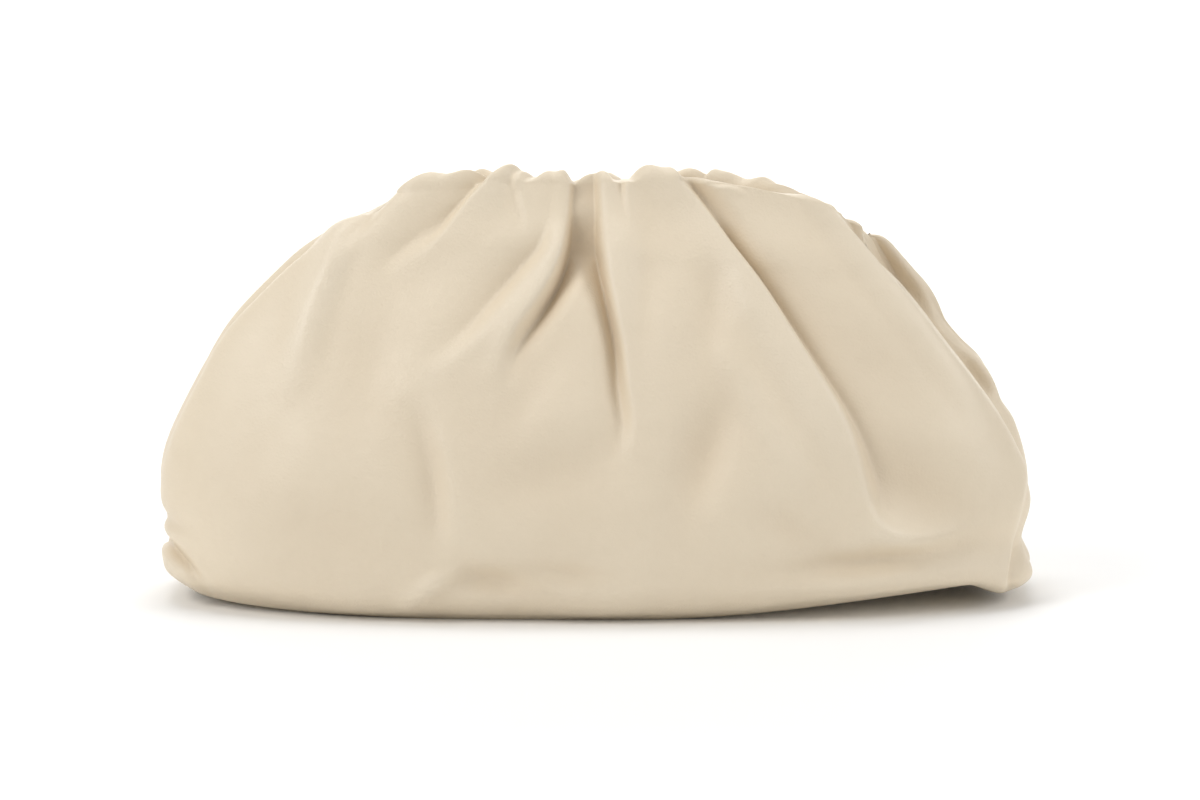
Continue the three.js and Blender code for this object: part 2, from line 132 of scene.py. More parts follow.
# The rings that the wall is lofted through, from the base rim up to the crest of the lip.
# left, right: how far the ring's ends lie from the mouth's end (0) out to the half width (1),
# before the side tuck draws the seam in, so that some pass 1.
# rises: heights in wall heights. front, back: depth from the lip's (0) to the half depth (1).
# square: the power that rounds the ring. insets: how far the front's ends are drawn in, in half
# widths. tuck: how much of the side tuck is drawn in.
RINGS = {
    "left": (0.87, 0.99, 0.99, 1.03, 1.005, 0.915, 0.765, 0.51, 0.24, 0.02),
    "right": (0.88, 1.03, 0.98, 1.03, 0.985, 0.875, 0.67, 0.395, 0.2, 0.06),
    "left_rise": (0.022, 0.075, 0.15, 0.26, 0.37, 0.5, 0.65, 0.79, 0.89, 0.95),
    "right_rise": (0.02, 0.06, 0.145, 0.25, 0.37, 0.5, 0.645, 0.765, 0.84, 0.875),
    "rise": (0, 0.05, 0.13, 0.26, 0.4, 0.54, 0.68, 0.8, 0.9, 0.985),
    "front": (0.67, 0.91, 0.99, 0.965, 0.84, 0.65, 0.42, 0.19, 0.05, 0),
    "back": (0.72, 0.93, 1, 0.98, 0.86, 0.66, 0.42, 0.19, 0.05, 0),
    "square": (2.5, 2.5, 2.45, 2.4, 2.4, 2.4, 2.5, 2.8, 3.2, 4),
    "inset_left": (0, 0.005, 0.01, 0.02, 0.015, 0.01, 0.01, 0.015, 0.015, 0),
    "inset_right": (0, 0.01, 0.01, 0.01, 0.02, 0.05, 0.075, 0.07, 0.045, 0),
    "tuck": (0.1, 0.2, 0.3, 0.4, 0.6, 0.85, 1, 0.85, 0.45, 0.15),
}

# A fold is a rolled ridge along a path, with a valley on one side of it. Its ridge, valley,
# flanks and lap are in millimetres, at even steps down the path; side 1 has the valley to the
# right of a path that runs down. steep and open are the valley's two flanks, back is the
# ridge's far side, and lap is how far the ridge leans over the valley.
Fold = namedtuple("Fold", "name side path ridge valley steep open back lap")

FRONT_FOLDS = (
    Fold("left_shoulder", -1, ((-79, 196), (-84, 188), (-89, 182), (-96, 174), (-104, 164), (-113, 152)),
         (1, 1.5, 1.5, 1, 0), (1, 3, 4, 3, 0), (5, 6, 6.5, 7), (10, 12, 12, 12), (14, 14), (0, 0.5, 0)),
    Fold("left_sheen", -1, ((-103, 180), (-112, 168), (-119, 152), (-126, 135), (-133, 113), (-138, 94)),
         (2, 4.5, 4.5, 3, 0), (0, 0), (13, 16), (8, 8), (9, 14), (0, 0)),
    Fold("left_lobe", -1, ((-41, 202), (-46, 192), (-53, 185), (-61, 176), (-69, 166), (-80, 155)),
         (1.5, 2.5, 2, 1, 0), (3, 6, 6, 3, 0), (3, 4, 5, 8), (10, 16, 20, 20), (14, 18), (0.5, 1.5, 1, 0)),
    Fold("lobe_dip", -1, ((-60, 174), (-72, 165), (-82, 157), (-92, 147)),
         (0, 0.5, 0), (0, 2, 2, 0), (9, 9), (11, 11), (10, 10), (0, 0)),
    Fold("bump_crease", -1, ((-39, 203), (-37, 194), (-33, 184), (-30, 174), (-30, 166)),
         (0.8, 0.8, 0), (2.5, 2, 1, 0), (3, 4), (6, 9), (6, 8), (0, 0)),
    Fold("soft_groove", -1, ((-18, 172), (-22, 160), (-31, 149), (-41, 137), (-55, 121), (-76, 105)),
         (0, 1.2, 2, 2, 1, 0), (0, 3, 4.5, 4.5, 3, 0), (5, 7, 9, 10), (10, 16, 22, 24), (6, 7, 8, 8),
         (0, 0)),
    Fold("centre_left", 1, ((-10, 206), (-12, 192), (-14, 174), (-19.5, 155), (-27.5, 142),
                            (-37, 130), (-43, 119), (-46, 105)),
         (1.5, 2.5, 3.5, 4, 3.5, 2, 0), (8, 12, 15, 12, 7, 3.5, 0), (3, 3.5, 4, 5, 7, 9),
         (18, 18, 13, 13, 18, 22), (7, 8, 9, 10), (0.5, 1.5, 2.5, 2, 1, 0)),
    Fold("centre_right", -1, ((0, 206), (2, 192), (4, 175), (7, 159), (11, 141), (15, 124),
                              (17, 107), (19, 89), (16, 70)),
         (1.5, 2.5, 3, 3.5, 3.5, 3, 1.5, 0), (8, 12, 15, 14, 12, 11, 8, 4, 0), (3, 3.5, 4.5, 5, 6, 8, 10),
         (18, 18, 14, 12, 13, 16, 16), (14, 22, 26, 26), (0.5, 1.5, 3, 3, 2.5, 1, 0)),
    Fold("recess_pleat", 1, ((0, 206), (-2, 196), (-4, 186), (-7, 176), (-9, 166)),
         (1, 2, 2, 1, 0), (1, 3, 4, 2, 0), (2.5, 3), (4, 5), (4, 5), (0, 0.5, 0)),
    Fold("lip_notch", -1, ((17, 206), (16, 197), (15, 188), (16, 178), (18, 168)),
         (1.5, 1.5, 0.8, 0), (5, 6, 3, 1, 0), (3, 3.5, 4), (5, 6, 8), (8, 10), (0.5, 0.8, 0)),
    Fold("lip_pucker", 1, ((50, 189), (55, 187.5), (60, 187.5), (65, 186)),
         (0.5, 1, 0.5), (1, 3, 3, 1), (1.8, 1.8), (3, 3), (3, 3), (0, 0.5, 0)),
    Fold("great_flap", 1, ((26, 206), (34, 193), (45.5, 180), (60, 161), (74, 143), (86, 125),
                           (97.5, 107), (108, 90), (116, 73), (120, 58), (122, 44)),
         (1.5, 2.5, 3, 3, 3, 3, 2.5, 2, 0), (5, 11, 13, 11, 9, 8, 7, 5, 3, 0), (3.5, 4, 4.5, 5, 7, 9),
         (7, 9, 13, 19, 24, 26, 24, 20), (14, 20, 24, 20), (0.5, 2, 3, 3, 2.5, 1, 0)),
    Fold("side_lobe", 1, ((98, 186), (110, 170), (125, 151), (140, 134), (154, 117), (169, 99), (183, 82)),
         (2, 4, 4.5, 4, 3, 0), (2, 4.5, 5, 4.5, 2.5, 0), (5, 6, 6), (10, 10), (10, 14),
         (0, 0.8, 0.8, 0.4, 0)),
    Fold("bowl_rim", 1, ((120, 52), (126, 42), (139, 36), (154, 36), (168, 43)),
         (1, 3, 3, 2, 0), (0, 0), (9, 9), (8, 8), (10, 10), (0, 0)),
    Fold("left_crease", -1, ((-74, 106), (-67, 88), (-62, 68), (-60, 48), (-60, 30)),
         (0, 1, 1, 0), (0, 3.5, 5, 3.5, 0), (13, 13), (24, 26), (12, 12), (0, 0)),
    Fold("foot_ridge", 1, ((-58, 29), (-67, 22), (-76, 16), (-90, 6)),
         (0, 3, 3, 0), (0, 0), (7, 7), (8, 8), (8, 8), (0, 0)),
    Fold("middle_ridge", 1, ((54, 128), (61, 113), (73, 93), (88, 69), (95, 54)),
         (0, 1.8, 2.2, 1.5, 0), (0, 0), (13, 13), (8, 8), (11, 11), (0, 0)),
    Fold("right_corner_crease", 1, ((188, 33), (186, 24), (184, 15), (183, 6)),
         (0.5, 1.5, 1.5, 0.5), (1, 3, 3, 1), (3, 3), (7, 7), (6, 6), (0, 0)),
    Fold("corner_crease", 1, ((-204, 27), (-195, 23), (-186, 17), (-178, 9)),
         (1, 2, 2, 0.5), (2, 5, 4.5, 1), (3, 3), (7, 9), (6, 7), (0.5, 1, 0)),
    Fold("corner_pinch", 1, ((-208, 38), (-199, 35), (-188, 33), (-176, 33)),
         (0.5, 1, 0), (3, 3.5, 2, 0), (4, 5), (7, 9), (7, 7), (0, 0)),
)

BACK_FOLDS = (
    Fold("back_left", -1, ((-44, 204), (-60, 180), (-84, 150), (-104, 118), (-116, 86), (-124, 50)),
         (1.5, 3, 3, 2, 0), (5, 10, 12, 9, 4, 0), (3.5, 5, 7), (12, 26, 34, 28), (14, 22), (1, 2.5, 2, 0)),
    Fold("back_mid_left", 1, ((-20, 204), (-24, 184), (-33, 160), (-46, 134), (-56, 104)),
         (1.5, 2.5, 2, 0), (6, 10, 8, 4, 0), (3, 4, 6), (12, 18, 20), (12, 14), (1, 2, 1, 0)),
    Fold("back_centre", 1, ((13, 204), (12, 180), (13, 152), (18, 120), (26, 90), (31, 62)),
         (1.5, 3, 3, 2, 0), (6, 12, 12, 8, 3, 0), (3, 4, 5, 7), (14, 20, 24, 20), (14, 18), (1, 2.5, 2, 0)),
    Fold("back_mid_right", -1, ((48, 204), (60, 180), (74, 152), (88, 122), (100, 84)),
         (1.5, 2.5, 2, 0), (5, 9, 9, 4, 0), (3, 4, 6), (12, 22, 24), (12, 18), (1, 2, 1, 0)),
    Fold("back_right", 1, ((92, 190), (112, 168), (132, 142), (148, 112), (160, 74)),
         (1, 2.5, 2, 0), (3, 6, 6, 3, 0), (4, 5, 7), (12, 20, 20), (12, 16), (0, 1.5, 0)),
    Fold("tuck_slit", -1, ((119, 178), (128, 166), (139, 151), (150, 136), (158, 122)),
         (0.3, 3, 3.5, 2, 0), (0.5, 4, 4.5, 3, 0), (3.5, 4), (6, 7), (8, 10), (0, 1, 0.5, 0)),
    Fold("side_pleat", -1, ((151, 142), (161, 131), (171, 119), (179, 107)),
         (0, 3, 3, 0), (0, 3.5, 3.5, 0), (4, 4.5), (8, 8), (8, 8), (0, 0.5, 0)),
    Fold("side_crumple_high", -1, ((166, 112), (174, 104), (181, 95), (183, 86)),
         (0.5, 3, 3, 0), (1, 4.5, 4.5, 0), (3, 3.5), (6, 6), (5, 6), (0, 1, 0)),
    Fold("side_crumple_low", -1, ((176, 110), (183, 101), (190, 90), (194, 80)),
         (0, 2.5, 2.5, 0), (0, 3.5, 3.5, 0), (3, 3.5), (5, 6), (5, 5), (0, 0.5, 0)),
    Fold("back_shoulder", -1, ((-78, 192), (-92, 176), (-108, 156), (-122, 132)),
         (1, 2, 1, 0), (2, 5, 3, 0), (4, 6), (10, 14), (12, 14), (0, 0.5, 0)),
    Fold("back_pucker", 1, ((70, 200), (80, 184), (92, 166), (102, 146)),
         (0.8, 1.2, 0), (2, 4, 2, 0), (3, 5), (8, 12), (8, 10), (0, 0.5, 0)),
)

# A dent is a soft oval hollow in the filled-out leather: its middle, its half length and half
# width, how far its long way turns from level in degrees, and how deep it sinks.
Dent = namedtuple("Dent", "name x z long wide turn sink")

FRONT_DENTS = (
    Dent("central_recess", -5, 168, 18, 9, 96, 11),
    Dent("right_bowl", 143, 60, 26, 16, -36, 7.5),
    Dent("right_groove", 122, 27, 40, 6, 4, 6.5),
    Dent("foot_hollow", -46, 20, 18, 7, -8, 6),
    Dent("foot_hollow_small", -12, 24, 17, 5, -6, 3.5),
    Dent("middle_hollow", 48, 74, 27, 11, 72, 7),
    Dent("upper_middle", 51, 135, 26, 9, 84, 3.5),
    Dent("upper_streak", 22, 136, 34, 6, 88, 2.4),
    Dent("left_lobe_hollow", -150, 70, 30, 16, 60, 1.5),
    Dent("left_low_hollow", -118, 40, 34, 12, -12, 1.8),
    Dent("left_shade", -98, 120, 36, 14, 75, 2),
    Dent("under_tongue", -20, 68, 34, 14, 20, 3.5),
    Dent("tongue_side", -28, 104, 24, 9, 60, 2),
    Dent("flap_low", 88, 42, 22, 9, -30, 4),
    Dent("flap_right", 124, 112, 30, 10, -48, 2.5),
)

BACK_DENTS = (
    Dent("back_bowl", -140, 54, 24, 15, 34, 4),
    Dent("back_groove", 110, 28, 40, 7, 6, 3),
    Dent("back_foot", 40, 20, 18, 6, 8, 3),
    Dent("back_middle", -10, 74, 30, 14, 100, 2.5),
    Dent("back_crease", 80, 70, 26, 10, 70, 2),
)

# Bumps and notches of the lips' tops: where along the mouth, half width and height.
LIP_BUMPS = {
    "front": ((-90, 6, 4), (-79, 10, 3.4), (-64, 8, 4.5), (-52, 5, -3), (-41, 6, 3), (-32, 5, -3),
              (-24, 4, 1.5), (-16, 4, 2), (-11, 3, -3.5), (-1, 5, 2), (13, 5.5, -8), (25, 7, 3.5),
              (74, 26, -3.5), (112, 7, -4)),
    "back": ((-60, 10, 1.5), (-20, 8, -1), (4, 9, 2.5), (13, 5, -2.5), (48, 11, 6.5), (67, 8, 2.6),
             (87, 12, 5.2), (105, 6, -4.5)),
}

# Where the lips gape a little: where along the mouth, half width and gap.
LIP_GAPS = ((60, 9, 4), (113, 7, 6), (-4, 5, 1.5))

# Where the rim curls up off the floor: where that starts, is full, fades and ends, and its height.
RimCurl = namedtuple("RimCurl", "start full fades end height")
RIM_CURLS = {"front": RimCurl(20, 165, 166, 187, 8.2), "back": RimCurl(-190, -165, -120, -70, 4.2)}

# How finely each sheet and each fold's path are divided
GRID = {
    "front": {"columns": 380, "wall": 178, "roll": 14, "hem": 6},
    "back": {"columns": 300, "wall": 150, "roll": 12, "hem": 4},
}
BASE_CROSS = 16
PATH_STEPS = 72

# The slight waviness of slack leather, a fraction of a millimetre: the wide and tall lengths of
# each wave, its height, and how far the panels' waves are out of step
SLACK_WAVES = ((130, 71, 0.35), (-97, 83, 0.3), (58, -140, 0.2), (43, 67, 0.08), (-31, 49, 0.06))
SLACK_STEP = {"front": 0.7, "back": 2.1}

# The depth and the height at which the painted shade in a fold's valley and the painted sheen on its ridge
# are full, and how much of them the lip has
SUNK_FULL = 9
PROUD_FULL = 3.5
LIP_PAINTED_LIGHT_SHARE = 0.5

# The thin slice of the wall, up from the rim, that the base's edge is taken from
RIM_SLICE = 0.02
RIM_SLICE_ROWS = 3


def ease(t):
    """A smooth step from 0 to 1."""
    t = np.clip(t, 0, 1)
    return t * t * (3 - 2 * t)


def curve_through(values, share):
    """A smooth curve through evenly spaced values, at shares of the way along it."""
    v = np.asarray(values, float)
    last = len(v) - 1
    at = np.clip(share, 0, 1) * last
    i = np.minimum(at.astype(int), last - 1)
    t = at - i
    before, start, end, after = (v[np.clip(i + k, 0, last)] for k in (-1, 0, 1, 2))
    return (
        (2 * t**3 - 3 * t**2 + 1) * start
        + (t**3 - 2 * t**2 + t) * (end - before) / 2
        + (3 * t**2 - 2 * t**3) * end
        + (t**3 - t**2) * (after - start) / 2
    )


def unit(vectors):
    """Vectors drawn out or in to length 1."""
    return vectors / np.maximum(np.linalg.norm(vectors, axis=-1, keepdims=True), 1e-9)


def softened(values, times=2):
    """Values on a grid, each drawn towards its neighbours, so that no fold has a jagged edge."""
    for _ in range(times):
        for axis in (0, 1):
            ends = np.pad(values, [(1, 1) if k == axis else (0, 0) for k in (0, 1)], mode="edge")
            before, after = (ends[:-2], ends[2:]) if axis == 0 else (ends[:, :-2], ends[:, 2:])
            values = 0.25 * before + 0.5 * values + 0.25 * after
    return values


def column_shares(columns):
    """Column places between the left seam (-1) and the right seam (1), closer in the middle."""
    u = np.linspace(0, 1, columns + 1)
    return -np.cos(np.pi * (u + MIDDLE_COLUMNS_CLOSER / (2 * np.pi) * np.sin(2 * np.pi * u)))


def frame_top(x):
    """The top of the hidden frame, which slopes down to the right with the mouth."""
    return BAG_HEIGHT - FRAME_BELOW_LIP - FRAME_DROP * (x - MOUTH_SHIFT) / MOUTH_LENGTH


def smooth_wall(panel, m, up):
    """The wall before its folds, for column shares m and shares up from rim to crest."""
    ring = {column: curve_through(values, up) for column, values in RINGS.items()}
    left = m < 0
    mouth_end = np.where(left, MOUTH_END["left"], MOUTH_END["right"])
    out = np.where(left, ring["left"], ring["right"])
    reach = mouth_end + (HALF_WIDTH - mouth_end) * out
    inset = np.where(left, ring["inset_left"], ring["inset_right"]) * (panel == "front")
    depth = LIP_DEPTH + (HALF_DEPTH - LIP_DEPTH) * ring[panel]
    share = np.abs(m)
    plan = np.maximum(1 - share ** ring["square"], 0) ** (1 / ring["square"])
    to_end = (np.maximum(share - LEVEL_MIDDLE, 0) / (1 - LEVEL_MIDDLE)) ** 2
    end_rise = np.where(left, ring["left_rise"], ring["right_rise"])
    rise = (ring["rise"] + (end_rise - ring["rise"]) * to_end) * WALL_HEIGHT
    drop = BACK_LIP_DROP * up**LIP_DROP_SHARPNESS * (panel == "back")
    width = np.where(left, TUCK_WIDTH["left"], TUCK_WIDTH["right"])
    near_seam = np.exp(-((plan * depth / np.minimum(width, TUCK_DEPTH_SHARE * depth)) ** 2))
    tuck = np.where(left, SIDE_TUCK["left"], SIDE_TUCK["right"]) * ring["tuck"]
    pulled = inset * HALF_WIDTH * (1 - near_seam) + tuck * near_seam
    towards_end = share**END_SHARPNESS
    x = m * reach - np.sign(m) * pulled * towards_end
    y = OUTWARD[panel] * (plan * depth + SEAM_GAP / 2)
    return np.stack([x, y, rise - drop * (1 - towards_end)], -1)


def beside_path(path, x, z):
    """For points of the front view: how far to the right of a path that runs down, how far down
    it from 0 to 1, and the way to the right of it there."""
    share = np.linspace(0, 1, PATH_STEPS)
    px = curve_through([p[0] for p in path], share)
    pz = curve_through([p[1] for p in path], share)
    step = np.hypot(np.gradient(px), np.gradient(pz))
    tx, tz = np.gradient(px) / step, np.gradient(pz) / step
    nearest = np.argmin((x[..., None] - px) ** 2 + (z[..., None] - pz) ** 2, -1)
    dx, dz = x - px[nearest], z - pz[nearest]
    rx, rz = -tz[nearest], tx[nearest]
    away = dx * rx + dz * rz
    over = dx * tx[nearest] + dz * tz[nearest]
    past_foot = np.where((nearest == PATH_STEPS - 1) & (over > 0), over, 0)
    away = np.where(away < 0, -1, 1) * np.hypot(away, past_foot)
    down = np.clip((nearest + over / step[nearest]) / (PATH_STEPS - 1), 0, 1)
    return away, down, rx, rz


def fold_lift(fold, x, z):
    """How far a fold lifts the wall, and how far it shifts it to the right and up."""
    away, down, rx, rz = beside_path(fold.path, x, z)
    away = away * fold.side
    ridge, valley, steep, wide, back, lap = (
        curve_through(values, down)
        for values in (fold.ridge, fold.valley, fold.steep, fold.open, fold.back, fold.lap)
    )
    drop = ease(away / steep)
    recover = (1 - np.clip((away - OPEN_FLANK_START * steep) / wide, 0, 1)) ** 2
    near = ridge * ease(1 + away / back)
    far = ridge * (1 - drop) - valley * drop * recover
    lean = fold.side * lap * np.exp(-((away / steep) ** 2))
    return np.where(away < 0, near, far), lean * rx, lean * rz


def dent_lift(dent, x, z):
    """How far a dent sinks the wall at points of the front view."""
    turn = math.radians(dent.turn)
    dx, dz = x - dent.x, z - dent.z
    along = (dx * math.cos(turn) + dz * math.sin(turn)) / dent.long
    across = (dz * math.cos(turn) - dx * math.sin(turn)) / dent.wide
    return -dent.sink * np.exp(-(along**2) - across**2)


def slackness(panel, x, z):
    """The slight waviness that slack leather always has."""
    return sum(
        height * np.sin(2 * np.pi * (x / wide + z / tall) + SLACK_STEP[panel] * k)
        for k, (wide, tall, height) in enumerate(SLACK_WAVES)
    )


def folded_wall(panel, m, up):
    """The wall's outer face with its folds, and how far each point was lifted."""
    base = smooth_wall(panel, m, up)
    x, z = base[..., 0], base[..., 2]
    lean = LIP_LEAN * ease((z - frame_top(x) - LEAN_START) / LEAN_HEIGHT)
    base[..., 1] *= 1 - lean
    folds, dents = (FRONT_FOLDS, FRONT_DENTS) if panel == "front" else (BACK_FOLDS, BACK_DENTS)
    lift = slackness(panel, x, z)
    right = np.zeros_like(lift)
    rise = np.zeros_like(lift)
    for fold in folds:
        height, to_right, to_rise = fold_lift(fold, x, z)
        lift += height
        right += to_right
        rise += to_rise
    for dent in dents:
        lift += dent_lift(dent, x, z)
    lift, right, rise = softened(lift), softened(right), softened(rise)
    across = unit(np.gradient(base, axis=0))
    rising = unit(np.gradient(base, axis=1))
    normal = unit(np.cross(across, rising)) * -OUTWARD[panel] * np.sign(m[-1, 0] - m[0, 0])
    over_frame = z - frame_top(x) - PAST_FRAME["clear"]
    under_frame = frame_top(x) - FRAME_HEIGHT - PAST_FRAME["clear"] - z
    free = np.maximum(ease(over_frame / PAST_FRAME["fade"]), ease(under_frame / PAST_FRAME["fade"]))
    kept = CHANNEL_DEPTH + (PRESSED_DEPTH - CHANNEL_DEPTH) * free
    past_end = np.maximum(x - FRAME_END["right"], -x - FRAME_END["left"])
    kept = kept + (END_DEPTH - kept) * ease(past_end / END_FADE)
    room = np.maximum(np.abs(base[..., 1]) - kept, LEAST_ROOM)
    room = room / np.maximum(np.abs(normal[..., 1]), LEAST_FACING)
    lift = softened(np.where(lift < 0, -room * np.tanh(-lift / room), lift), times=1)
    to_seam = ease((np.abs(base[..., 1]) - SEAM_GAP / 2) / SEAM_HOLD)
    to_rim = ease(up / RIM_FADE)
    hold = to_seam * to_rim
    rim = RIM_CURLS[panel]
    curl = rim.height * ease((x - rim.start) / (rim.full - rim.start))
    curl = curl * ease((rim.end - x) / (rim.end - rim.fades))
    shown = base.copy()
    shown[..., 2] += curl * to_seam * ease(1 - up / CURL_FADE)
    right_way = across * np.sign(across[..., :1])
    shown += normal * (lift * hold)[..., None]
    shown += right_way * (right * hold)[..., None] + rising * (rise * hold)[..., None]
    return shown, lift * hold


def panel_sheet(panel):
    """The outer face of a panel from the base rim over the lip to the hem's foot, as columns of
    points that face outwards, and how far each point is lifted from the plain wall."""
    grid = GRID[panel]
    shares = column_shares(grid["columns"])
    if panel == "back":
        shares = shares[::-1]
    m, up = np.meshgrid(shares, np.linspace(0, 1, grid["wall"] + 1), indexing="ij")
    wall, lift = folded_wall(panel, m, up)
    crest = wall[:, -1]
    m = shares
    end = np.where(m < 0, MOUTH_END["left"], MOUTH_END["right"]) - 2 * LIP_ROLL
    plan = np.maximum(1 - np.abs(m) ** SLOT_SQUARE, 0) ** (1 / SLOT_SQUARE)
    gape = LIP_SLOT + sum(
        gap * np.exp(-(((m * end - middle) / half) ** 2)) for middle, half, gap in LIP_GAPS
    )
    slot_y = OUTWARD[panel] * np.maximum(plan * gape, SEAM_GAP) / 2
    slot = np.stack([m * end, slot_y, crest[:, 2]], -1)
    pushed = lift[:, -1]
    bumps = sum(
        height * np.exp(-(((crest[:, 0] - middle) / half) ** 2))
        for middle, half, height in LIP_BUMPS[panel]
    )
    bumps = bumps * ease((1 - np.abs(m)) / LIP_END_FADE)
    pushed_up = np.maximum(LIP_RIDGE_SHARE * pushed, LIP_VALLEY_SHARE * pushed)
    high = np.maximum(LIP_TOP + pushed_up + bumps, LEAST_LIP)
    roll = []
    for j in range(1, grid["roll"] + 1):
        turn = math.pi * j / grid["roll"]
        point = crest + (slot - crest) * (1 - math.cos(turn)) / 2
        point[:, 2] += high * math.sin(turn)
        roll.append(point)
    hem_foot = frame_top(slot[:, 0]) - FRAME_HEIGHT - HEM_OVER_FRAME
    hem = []
    for j in range(1, grid["hem"] + 1):
        point = slot.copy()
        point[:, 2] += (hem_foot - slot[:, 2]) * j / grid["hem"]
        hem.append(point)
    rest = np.stack(roll + hem, 1)
    # The lip takes a share of the crest's lift for its painted shade and painted sheen
    lip_lift = np.repeat(lift[:, -1:], rest.shape[1], 1) * LIP_PAINTED_LIGHT_SHARE
    return np.concatenate([wall, rest], 1), np.concatenate([lift, lip_lift], 1)


def inner_face(panel, outer):
    """The face one leather thickness inside an outer one, with square edges."""
    normal = unit(np.cross(np.gradient(outer, axis=0), np.gradient(outer, axis=1)))
    normal[:, [0, -1], 2] = 0
    normal[[0, -1], :, 1] = 0
    inner = outer - unit(normal) * LEATHER
    seam_y = OUTWARD[panel] * SEAM_GAP / 2
    past = OUTWARD[panel] * (inner[..., 1] - seam_y) < 0
    past[[0, -1], :] = True
    inner[..., 1][past] = seam_y
    return inner


def joined_edge(fine, coarse):
    """Triangles between a fine closed loop and a coarse one with half as many points."""
    count = len(coarse)
    faces = []
    for k in range(count):
        a, b, c = fine[2 * k], fine[2 * k + 1], fine[(2 * k + 2) % len(fine)]
        p, q = coarse[k], coarse[(k + 1) % count]
        faces += [(b, a, p), (b, p, q), (c, b, q)]
    return faces


def edge_loop(columns, rows, start=0):
    """The indices round the border of a grid, anticlockwise from outside."""
    loop = [i * rows for i in range(columns - 1)]
    loop += [(columns - 1) * rows + j for j in range(rows - 1)]
    loop += [i * rows + rows - 1 for i in range(columns - 1, 0, -1)]
    loop += list(range(rows - 1, 0, -1))
    return [start + k for k in loop]


def grid_faces(columns, rows, start=0, turned=False):
    """The quads of a grid of points, which face outwards unless they are turned."""
    i, j = np.meshgrid(np.arange(columns - 1), np.arange(rows - 1), indexing="ij")
    a = (start + i * rows + j).ravel()
    quads = np.stack([a, a + rows, a + rows + 1, a + 1], -1)
    return quads[:, ::-1] if turned else quads


def leather_mesh(name, outer, inner, facts):
    """A closed leather sheet, its inner face half as finely divided, with facts at each point."""
    columns, rows = outer.shape[:2]
    coarse = inner[::2, ::2]
    start = columns * rows
    points = np.concatenate([outer.reshape(-1, 3), coarse.reshape(-1, 3)]) * MM
    faces = grid_faces(columns, rows).tolist()
    faces += grid_faces(*coarse.shape[:2], start, turned=True).tolist()
    faces += joined_edge(edge_loop(columns, rows), edge_loop(*coarse.shape[:2], start))
    mesh = bpy.data.meshes.new(name)
    mesh.from_pydata(points.tolist(), [], faces)
    mesh.validate()
    mesh.shade_smooth()
    for fact, values in facts.items():
        both = np.concatenate([values.ravel(), values[::2, ::2].ravel()])
        mesh.attributes.new(fact, "FLOAT", "POINT").data.foreach_set("value", both.astype(np.float32))
    piece = bpy.data.objects.new(name, mesh)
    bpy.context.scene.collection.objects.link(piece)
    return piece


def leather_panel(panel):
    """A panel's sheet, which knows where it sinks in, for painted shade, and where it stands out, for a
    painted sheen.
    """
    outer, lift = panel_sheet(panel)
    # How deep each point sinks and how far it stands out, which drive the painted shade in the valleys and
    # the painted sheen on the ridges
    facts = {"sunk_shade": np.clip(-lift / SUNK_FULL, 0, 1), "proud_sheen": np.clip(lift / PROUD_FULL, 0, 1)}
    return leather_mesh(f"{panel}_leather", outer, inner_face(panel, outer), facts)


def rim_inside(panel, columns):
    """The edge of the base: the panel's rim, one leather and a seam gap further in."""
    shares = column_shares(columns)
    m, up = np.meshgrid(shares, np.linspace(0, RIM_SLICE, RIM_SLICE_ROWS), indexing="ij")
    rim = folded_wall(panel, m, up)[0][:, 0]
    along = np.gradient(rim, axis=0)
    along[:, 2] = 0
    along = unit(along)
    inwards = np.stack([along[:, 1], -along[:, 0], np.zeros(len(along))], -1) * OUTWARD[panel]
    return rim + inwards * (LEATHER + SEAM_GAP)


def base_sheet():
    """The oval base panel, which curves up with the rim at its ends."""
    front, back = (rim_inside(panel, GRID["back"]["columns"]) for panel in ("front", "back"))
    inside = back[:, 1] - front[:, 1] > LEATHER + SEAM_GAP
    front, back = front[inside], back[inside]
    if len(front) % 2 == 0:
        front, back = front[1:], back[1:]
    t = np.linspace(0, 1, BASE_CROSS + 1)[None, :, None]
    under = front[:, None] * (1 - t) + back[:, None] * t
    upper = under + np.array([0, 0, LEATHER])
    plain = np.zeros(under.shape[:2])
    return leather_mesh("base_leather", upper, under, {"sunk_shade": plain, "proud_sheen": plain})


class Shade:
    """One output of a material's nodes, so that shader maths on it reads as plain Python."""

    def __init__(self, finish, socket):
        self.finish = finish
        self.socket = socket

    def maths(self, operation, first, second):
        return self.finish.add("ShaderNodeMath", {"operation": operation}, {0: first, 1: second})

    def __add__(self, other):
        return self.maths("ADD", self, other)

    def __sub__(self, other):
        return self.maths("SUBTRACT", self, other)

    def __rsub__(self, other):
        return self.maths("SUBTRACT", other, self)

    def __mul__(self, other):
        return self.maths("MULTIPLY", self, other)

    __radd__ = __add__
    __rmul__ = __mul__


class Finish:
    """A material that is built up from nodes."""

    def __init__(self, name):
        self.material = bpy.data.materials.new(name)
        self.material.use_nodes = True
        self.nodes = self.material.node_tree.nodes
        self.shader = self.nodes["Principled BSDF"]

    def set(self, node, values):
        for key, value in values.items():
            socket = node.inputs[key]
            if isinstance(value, Shade):
                self.material.node_tree.links.new(value.socket, socket)
            else:
                socket.default_value = value

    def add(self, kind, settings=None, values=None, output=0):
        """Adds a node, its settings first and then its sockets, and returns one output."""
        node = self.nodes.new(kind)
        for key, value in (settings or {}).items():
            setattr(node, key, value)
        self.set(node, values or {})
        return Shade(self, node.outputs[output])

    def blend(self, share, first, second):
        """A mix of two colours."""
        return self.add(
            "ShaderNodeMix", {"data_type": "RGBA"}, {0: share, 6: first, 7: second}, output=2
        )


